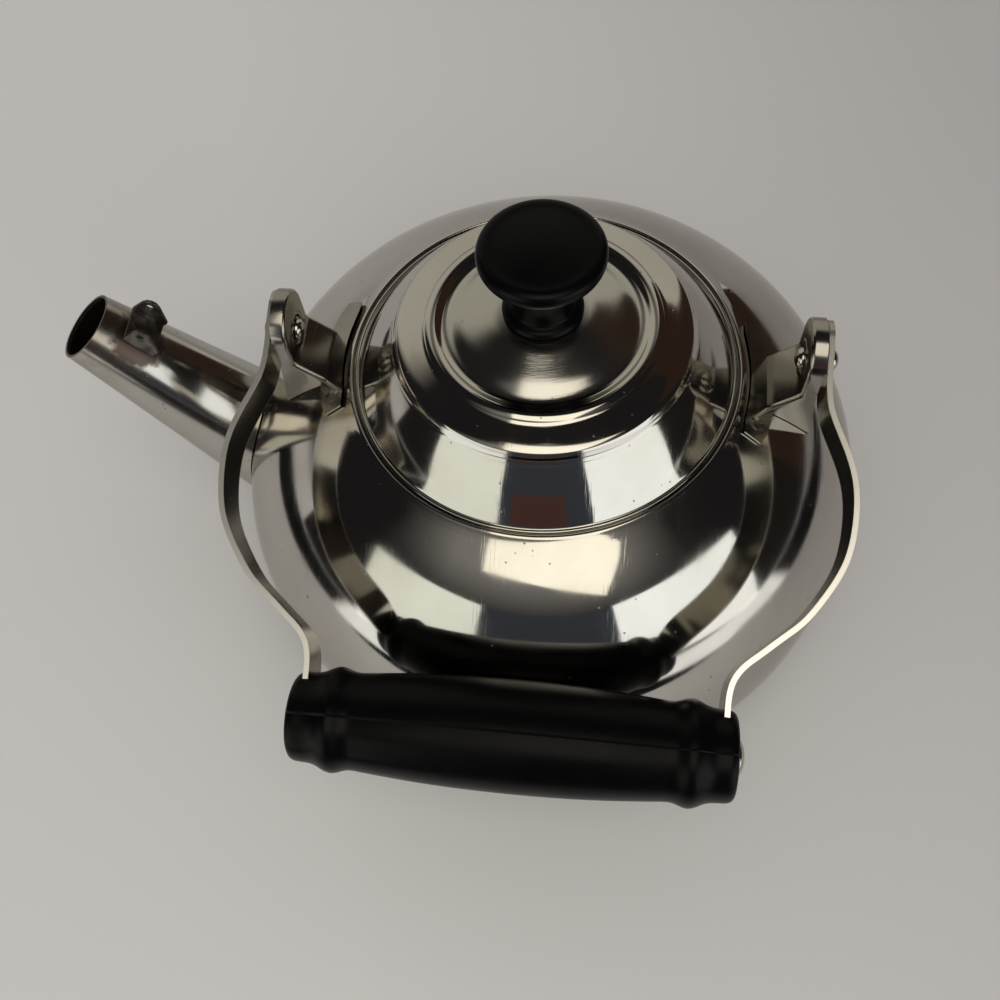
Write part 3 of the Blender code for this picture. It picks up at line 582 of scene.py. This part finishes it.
rim_edge = on_lid([(55.0, 0.0), (55.0, 0.45), (54.95, 0.66), (54.82, 0.80), (54.6, 0.87), (54.3, 0.86),
                   (54.1, 0.78)])
cone = fair_line(on_lid([(53.9, 0.86), (52.5, 2.75), (50.2, 6.0), (47.7, 9.25), (45.1, 12.25), (42.7, 14.75)]), 26)
step = fair_line(on_lid([(42.35, 15.05), (41.8, 15.9), (41.3, 16.9), (40.6, 17.75), (39.6, 18.25), (38.0, 18.75),
                         (35.8, 19.3), (33.7, 19.85)]), 22)
bead = fair_line(on_lid([(33.0, 20.1), (32.3, 20.7), (31.4, 21.15), (30.4, 21.25), (29.4, 20.95), (28.5, 20.3),
                         (27.6, 19.9)]), 22)
inner_dome = fair_line(on_lid([(26.6, 19.85), (25.6, 20.1), (23.1, 21.3), (19.2, 22.8), (15.4, 24.05),
                               (12.4, 24.9), (9.0, 25.15), (2.3, 25.2)]), 34)
lid_line = rim_edge + cone + step + bead + inner_dome
finished("lid_pressing", spun(sheet_loop(lid_line), 180), lid_steel, "lid", ["lid_shell"], 40)

# %% [markdown]
# ## The lid's skirt
# A plain ring under the lid drops into the neck and keeps the lid from sliding off. It is seen when the lid is
# lifted, so it is spun as finely as the rest.

# %% Skirt ring
SKIRT_INSIDE, SKIRT_OUTSIDE = 0.0508, 0.0516
SKIRT_TOP, SKIRT_FOOT = 0.0925, 0.0833
skirt_wall = [(SKIRT_INSIDE, SKIRT_TOP), (SKIRT_INSIDE, 0.0834), (0.05092, SKIRT_FOOT), (0.05148, SKIRT_FOOT),
              (SKIRT_OUTSIDE, 0.0834), (SKIRT_OUTSIDE, SKIRT_TOP)]
finished("lid_skirt", spun(skirt_wall, 144), worn, "lid", ["lid_skirt_ring"])

# %% [markdown]
# ## The knob
# A mushroom of phenolic on a waisted stem. Its top is bare and very slightly dished, with a soft raised edge. Its
# points are shares of its radius and height, and a blind bore from below takes the screw.

# %% Knob
KNOB_RADIUS = 0.0167
KNOB_HEIGHT = 0.0252
KNOB_BASE = 0.1158


def on_knob(shares):
    return [(r * KNOB_RADIUS, KNOB_BASE + z * KNOB_HEIGHT) for r, z in shares]


stem = on_knob([(0.14, 0.0), (0.60, 0.0), (0.645, 0.012), (0.66, 0.035), (0.645, 0.060)])
waist = fair_line(on_knob([(0.60, 0.085), (0.52, 0.115), (0.495, 0.17), (0.503, 0.33), (0.54, 0.52),
                           (0.585, 0.625), (0.69, 0.69), (0.86, 0.74), (0.955, 0.785), (0.995, 0.845),
                           (0.998, 0.895), (0.965, 0.945), (0.91, 0.968)]), 60)
top = fair_line(on_knob([(0.86, 0.976), (0.80, 0.974), (0.65, 0.978), (0.45, 0.988), (0.22, 0.997), (0.0, 1.0)]), 20)
bore = on_knob([(0.0, 0.40), (0.14, 0.40)])
finished("knob_moulding", spun(stem + waist + top + bore, 96), black, "lid", ["lid_knob"], 45)

# %% [markdown]
# ## The straps of the bail
# Two flat straps and a grip turn together about the ears. A strap is modelled flat, as it was sheared: a long
# grid that is extruded once for its other face. Then every point is carried to its place on the bent line, and
# the columns near both ends are drawn in, so that the ends are round.

# %% The bail's own frame
STRAP_PLANE = 0.0777
SLOT_PLANE = 0.05495
STRAP_HALF_WIDTH = 0.0065
STRAP_THICKNESS = 0.0015
STRAP_TAIL = 0.0045 + STRAP_HALF_WIDTH
STRAP_LINE = [
    (0.000, 1.000), (0.090, 0.990), (0.140, 1.016), (0.190, 1.098), (0.260, 1.234), (0.325, 1.318), (0.390, 1.338),
    (0.456, 1.313), (0.515, 1.249), (0.567, 1.138), (0.623, 0.972), (0.673, 0.788), (0.716, 0.556), (0.757, 0.330),
    (0.789, 0.158), (0.822, 0.052), (0.866, 0.006), (0.910, 0.000), (1.000, 0.000)]
down, out = math.sin(REST_ANGLE), math.cos(REST_ANGLE)


def on_bail(x, reach, off=0.0):
    """Side position, distance from the pivot along the folded bail, and height off its middle plane."""
    return PIVOT + Vector((x, -reach * out - off * down, -reach * down + off * out))


print("grip axis:", [round(c, 4) for c in on_bail(0, BAIL_REACH)])


# %% Bail straps
def strap_path():
    """(side, reach) along the strap's middle, from its round tail past the pivot to its end in the grip's slot."""
    half = STRAP_HALF_WIDTH
    bend = [(SLOT_PLANE + k * (STRAP_PLANE - SLOT_PLANE), s * BAIL_REACH) for s, k in STRAP_LINE]
    tail = [(STRAP_PLANE, -STRAP_TAIL + STRAP_TAIL * k / 16) for k in range(16)]
    end = [(SLOT_PLANE, BAIL_REACH + half * k / 10) for k in range(1, 11)]
    return tail + fair_line(bend, 150) + end


def strap(side):
    half, path = STRAP_HALF_WIDTH, strap_path()
    columns = len(path) - 1
    bm = bmesh.new()
    bmesh.ops.create_grid(bm, x_segments=columns, y_segments=8, size=0.5)
    grown = bmesh.ops.extrude_face_region(bm, geom=bm.faces[:])
    top_side = {g for g in grown["geom"] if isinstance(g, bmesh.types.BMVert)}
    outer_face, inner_face = sideways(path, STRAP_THICKNESS / 2), sideways(path, -STRAP_THICKNESS / 2)
    for vert in bm.verts:
        column = min(max(round((vert.co.x + 0.5) * columns), 0), columns)
        x, reach = (outer_face if vert in top_side else inner_face)[column]
        end = min(path[column][1] + STRAP_TAIL, BAIL_REACH + half - path[column][1])
        round_off = math.sqrt(max(1 - ((half - end) / half) ** 2, 0.004)) if end < half else 1
        vert.co = on_bail(side * x, reach, vert.co.y * 2 * half * round_off)
    return bm


for side, tag in ((-1, "left"), (1, "right")):
    piece = finished(f"strap_{tag}", strap(side), strap_steel, "bail", [f"bail_strap_{tag}"])
    filed_edges(piece, 0.0003, 2, 50)

# %% [markdown]
# ## The grip
# The grip is turned about its own length: a plain barrel, a waist, a bead and a collar at each end, with a hole
# for the tie rod. Half of its line is enough, because the other half is the same line read backwards.

# %% Grip
GRIP_RADIUS = 0.0148
GRIP_HALF = 0.058
ROD_RADIUS = 0.0023
GRIP_LINE = [
    (0.000, 1.000), (0.160, 0.994), (0.320, 0.974), (0.480, 0.938), (0.600, 0.902), (0.680, 0.874), (0.715, 0.866),
    (0.745, 0.884), (0.770, 0.918), (0.798, 0.944), (0.826, 0.928), (0.852, 0.884), (0.878, 0.838), (0.905, 0.812),
    (0.950, 0.800), (0.978, 0.786), (0.992, 0.760), (1.000, 0.716)]
half_grip = fair_line([(r * GRIP_RADIUS, x * GRIP_HALF) for x, r in GRIP_LINE], 90)
grip_loop = [(ROD_RADIUS, -GRIP_HALF)] + [(r, -x) for r, x in half_grip[:0:-1]] + half_grip + [(ROD_RADIUS, GRIP_HALF)]
grip_place = along(on_bail(0, BAIL_REACH), (1, 0, 0))
finished("grip_moulding", spun(grip_loop, 96, grip_place), grip_black, "bail", ["grip"], 45)

# %% [markdown]
# ## Caps and rivets
# Domed caps close the tie rod outside the grip, and domed rivets hold the straps to the ears. All are small
# turned pieces with a quarter of an ellipse for a head, spun about an axis that points to the side.

# %% Domed caps and rivets
CAP_FACE, CAP_BORE_END = 0.0583, 0.0595
EAR_INSIDE, STRAP_OUTSIDE = 0.0710, 0.07875
RIVET_HEAD, RIVET_SHANK, RIVET_DOME = 0.0030, 0.0020, 0.0020


def domed(radius, base, height, steps=10):
    """A quarter of an ellipse, from the head's edge up to its top."""
    quarter = [math.pi / 2 * k / steps for k in range(steps)]
    return [(radius * math.cos(a), base + height * math.sin(a)) for a in quarter] + [(0, base + height)]


cap = [(0.0, CAP_BORE_END), (ROD_RADIUS, CAP_BORE_END), (ROD_RADIUS, CAP_FACE)] + domed(0.0050, CAP_FACE, 0.0022)
inner_head = [(r, 2 * EAR_INSIDE - z) for r, z in domed(RIVET_HEAD, EAR_INSIDE, RIVET_DOME)[::-1]]
rivet = (inner_head + [(RIVET_SHANK, EAR_INSIDE), (RIVET_SHANK, STRAP_OUTSIDE)]
         + domed(RIVET_HEAD, STRAP_OUTSIDE, RIVET_DOME))
for side, tag in ((-1, "left"), (1, "right")):
    aside = (side, 0, 0)
    finished(f"cap_{tag}", spun(cap, 48, along(on_bail(0, BAIL_REACH), aside), closed=False), polished, "bail",
             [f"grip_cap_{tag}"])
    finished(f"rivet_{tag}", spun(rivet, 48, along(PIVOT, aside), closed=False), polished, "kettle",
             [f"pivot_rivet_{tag}"], 50)

# %% [markdown]
# ## Brackets and lug
# The pressed brackets and the lug already have the right folds as solids, so a merged copy stands for them. A
# press bends sheet round a radius, so the folds along the web and round the ear get a wide bevel as well.

# %% Which folds of a bracket are wide
EAR_FACE, EAR_CROWN, EAR_ROUND = 0.0713, 0.1032, 0.009
WEB_HALF_WIDTH, WEB_FOLD, WEB_FOOT = 0.0093, 0.0636, 0.0865
FOLD_ROUND = 0.0013


def pressed_edge(edge):
    """The folds that run up the web and round the ear, on the side that faces the lid."""
    for vert in edge.verts:
        x, y, z = abs(vert.co.x), abs(vert.co.y), vert.co.z
        on_ear = abs(x - EAR_FACE) < 2e-5 and math.hypot(y, z - EAR_CROWN) > EAR_ROUND
        on_fold = abs(y - WEB_HALF_WIDTH) < 2e-5 and abs(x - WEB_FOLD) < 2e-4 and z > WEB_FOOT
        if not (on_ear or on_fold):
            return False
    return edge.calc_face_angle(0) > math.radians(40)


# %% Brackets and lug from their solids
def softened(node, name, material, width, rounds=None):
    """A merged copy of a CAD node with filed edges, and with a wide bevel on the edges that rounds picks."""
    bm = bmesh.new()
    bm.from_mesh(cad[node].data)
    bmesh.ops.remove_doubles(bm, verts=bm.verts, dist=1e-6)
    bmesh.ops.dissolve_limit(bm, angle_limit=math.radians(1), verts=bm.verts, edges=bm.edges)
    if rounds:
        bmesh.ops.bevel(bm, geom=[e for e in bm.edges if rounds(e)], offset=FOLD_ROUND, offset_type="OFFSET",
                        segments=5, profile=0.5, affect="EDGES", clamp_overlap=True, material=-1)
    filed_edges(finished(name, bm, material, "kettle", [node], 30), width, 3, 35)


for tag in ("left", "right"):
    softened(f"ear_bracket_{tag}", f"bracket_{tag}", bracket_steel, 0.00025, pressed_edge)
softened("whistle_hinge_lug", "whistle_lug", lug_steel, 0.00015)

# %% [markdown]
# ## What stays as it is
# The spacers, the tie rod, the knob's screw and its washer are small and nearly hidden. They keep their CAD
# solid and only get a finish.

# %% Finish on the CAD nodes that stay
for node in ("pivot_spacer_left", "pivot_spacer_right", "grip_tie_rod", "knob_screw", "knob_washer"):
    cad[node].data.materials.clear()
    cad[node].data.materials.append(worn)
    print(node, "keeps its solid")

# %% [markdown]
# ## The table
# The kettle stands on a plain pale table. The real table gets darker towards the right and the far side, so its colour
# falls off slowly that way as painted shade.

# %% Table
NEAR_TABLE = (0.65, 0.635, 0.625, 1)
PAINTED_SHADE_TABLE = (0.47, 0.45, 0.445, 1)

table_bm = bmesh.new()
bmesh.ops.create_grid(table_bm, x_segments=1, y_segments=1, size=4)
table_mesh = bpy.data.meshes.new("table_top")
table_bm.to_mesh(table_mesh)
table_bm.free()
table_top = bpy.data.objects.new("table_top", table_mesh)
bpy.context.scene.collection.objects.link(table_top)
made, shader, nodes, place = new_material("pale_table")
x, y, _ = nodes.parts(place)
# painted shade: the table's colour darkens towards the right and the far side
painted_shade_falloff = nodes.remap(nodes.math("MULTIPLY_ADD", y, 0.35, x), -0.10, 0.26)
nodes.put(shader.inputs["Base Color"], nodes.mix(painted_shade_falloff, NEAR_TABLE, PAINTED_SHADE_TABLE))
nodes.put(shader.inputs["Roughness"], nodes.remap(nodes.noise(place, 6, 3), 0.3, 0.7, 0.5, 0.6))
table_mesh.materials.append(made)

# %% [markdown]
# ## The light
# Steel shows what is around it, so the studio has what the photograph's room had: two tall bright windows behind
# the camera and a bright patch of ceiling. Their places were read back from their reflections in the dome.

# %% Lamps
EYE_LEVEL = 0.08


def toward(azimuth, elevation):
    """Direction for a compass angle (0 is +Y, 90 is +X) and an angle above the table, both in degrees."""
    a, e = math.radians(azimuth), math.radians(elevation)
    return Vector((math.sin(a) * math.cos(e), math.cos(a) * math.cos(e), math.sin(e)))


def lamp(name, azimuth, elevation, distance, width, height, watts, colour, lean):
    """Area lamp that faces the kettle, leaning by some degrees."""
    direction = toward(azimuth, elevation)
    data = bpy.data.lights.new(name, "AREA")
    data.shape, data.size, data.size_y = "RECTANGLE", width, height
    data.energy, data.color = watts, colour
    item = bpy.data.objects.new(name, data)
    bpy.context.scene.collection.objects.link(item)
    item.matrix_world = (along(direction * distance + Vector((0, 0, EYE_LEVEL)), direction)
                         @ Matrix.Rotation(math.radians(lean), 4, "Z"))
    item.visible_camera = False
    print(f"{name}: {watts} W")


lamp("window_left", -142, 15, 2.0, 1.40, 1.07, 5.6, (0.98, 1.0, 0.88), 8)
lamp("window_right", 129, 15, 2.0, 1.65, 1.07, 8.5, (0.98, 1.0, 0.97), -8)
lamp("ceiling_patch", 167, 62, 1.6, 1.2, 1.2, 7.0, (1.0, 0.94, 0.78), -20)

# %% [markdown]
# ## Cards that only the metal sees
# Between the windows the dome mirrors a dark wall with a reddish chair, a brown cupboard and the dim sides of
# the room. Curved cards stand for them. They are hidden from the camera and from diffuse light, so they change
# nothing but the reflections.

# %% Helpers: a card and its glow
def glow(name, colour):
    """Material that shines with the colour as written."""
    made = bpy.data.materials.new(name)
    made.use_nodes = True
    tree = made.node_tree
    tree.nodes.remove(tree.nodes["Principled BSDF"])
    light = tree.nodes.new("ShaderNodeEmission")
    light.inputs["Color"].default_value = (*colour, 1)
    tree.links.new(light.outputs[0], tree.nodes["Material Output"].inputs["Surface"])
    return made, light, Nodes(tree)


def placed(name, bm, material):
    mesh = bpy.data.meshes.new(name)
    bm.to_mesh(mesh)
    bm.free()
    mesh.materials.append(material)
    item = bpy.data.objects.new(name, mesh)
    bpy.context.scene.collection.objects.link(item)
    item.visible_camera = item.visible_diffuse = item.visible_shadow = False
    print(f"{name}: {len(mesh.polygons)} faces")


# %% Cards around the kettle
def card(name, azimuths, heights, colour, distance=2.3):
    """Curved card from one compass angle and height angle to the other."""
    bm = bmesh.new()
    bmesh.ops.create_grid(bm, x_segments=16, y_segments=8, size=0.5)
    for vert in bm.verts:
        azimuth = azimuths[0] + (azimuths[1] - azimuths[0]) * (vert.co.x + 0.5)
        elevation = heights[0] + (heights[1] - heights[0]) * (vert.co.y + 0.5)
        vert.co = toward(azimuth, elevation) * distance
        vert.co.z += EYE_LEVEL
    placed(name, bm, glow(name, colour)[0])


card("card_wall", (150, 200), (-1, 31), (0.045, 0.050, 0.062))
card("card_chair", (165, 192), (3, 15), (0.080, 0.038, 0.032), 2.2)
card("card_cupboard", (30, 76), (-1, 55), (0.034, 0.019, 0.012))
card("card_corner", (200, 263), (-1, 14), (0.014, 0.012, 0.011))
card("card_side", (76, 152), (-1, 14), (0.014, 0.012, 0.011))

# %% [markdown]
# ## Beyond the table's edge
# The real table ends in front of the kettle. Beyond it the metal sees a dark floor, on which the windows leave
# two bright patches. Three strips just above the table stand for that floor.

# %% Dark floor strips
EDGE_STRIPS = ((0, -1.435, 4.8, 2.4), (-1.41, 0.0325, 1.98, 0.535), (1.41, 0.0325, 1.98, 0.535))
DARK_FLOOR = (0.006, 0.006, 0.006, 1)
SUNLIT_FLOOR = (1.3, 1.3, 1.28, 1)

edge_bm = bmesh.new()
for x, y, wide, deep in EDGE_STRIPS:
    strip = bmesh.ops.create_grid(edge_bm, x_segments=1, y_segments=1, size=0.5)["verts"]
    over_table = Matrix.Translation((x, y, 0.0005)) @ Matrix.Diagonal((wide, deep, 1, 1))
    bmesh.ops.transform(edge_bm, matrix=over_table, verts=strip)
made, light, nodes = glow("card_floor", (0, 0, 0))
x, y, _ = nodes.parts(nodes.tree.nodes.new("ShaderNodeTexCoord").outputs["Object"])
compass, reach = nodes.math("ARCTAN2", x, y), nodes.size(x, y)
panes = nodes.math("ADD", nodes.between(compass, 1.80, 2.66, 0.03), nodes.between(compass, -2.83, -2.13, 0.03))
panes = nodes.math("MULTIPLY", panes, nodes.remap(reach, 0.36, 0.42))
nodes.put(light.inputs["Color"], nodes.mix(panes, DARK_FLOOR, SUNLIT_FLOOR))
placed("card_floor", edge_bm, made)

# %% [markdown]
# ## The room
# The world is the rest of the room: pale at the horizon and on the wall behind the kettle, dark above, with a
# faint glimmer high in front. Camera, glossy and transmission rays see it alike. Diffuse rays get one plain
# tone, so that colours render about as they are written.

# %% Room tone
DARK_ABOVE = (0.014, 0.013, 0.0135, 1)
GLIMMER = (0.28, 0.27, 0.25, 1)
HORIZON = (0.56, 0.545, 0.52, 1)
BACK_WALL = (0.53, 0.51, 0.43, 1)
PLAIN_LIGHT = (0.54, 0.54, 0.55, 1)

world = bpy.data.worlds.new("room")
bpy.context.scene.world = world
world.use_nodes = True
tree = world.node_tree
nodes = Nodes(tree)
background = tree.nodes["Background"]
x, y, z = nodes.parts(tree.nodes.new("ShaderNodeTexCoord").outputs["Generated"])
compass, height = nodes.math("ARCTAN2", x, y), nodes.math("ARCSINE", z)
behind = nodes.math("MULTIPLY", nodes.between(compass, -1.05, 0.58, 0.08), nodes.remap(height, 0.98, 0.78))
front = nodes.remap(nodes.math("ABSOLUTE", compass), 2.0, 2.5)
high_front = nodes.math("MULTIPLY", front, nodes.remap(height, 0.50, 0.80))
room = nodes.mix(high_front, DARK_ABOVE, GLIMMER)
room = nodes.mix(nodes.remap(height, 0.20, 0.10), room, HORIZON)
room = nodes.mix(behind, room, BACK_WALL)
path = tree.nodes.new("ShaderNodeLightPath").outputs
seen = nodes.math("MAXIMUM", path["Is Camera Ray"], path["Is Glossy Ray"])
seen = nodes.math("MAXIMUM", seen, path["Is Transmission Ray"])
nodes.put(background.inputs["Color"], nodes.mix(seen, PLAIN_LIGHT, room))
background.inputs["Strength"].default_value = 1
bpy.context.scene.view_settings.view_transform = "Standard"
print("room:", len(tree.nodes), "nodes")
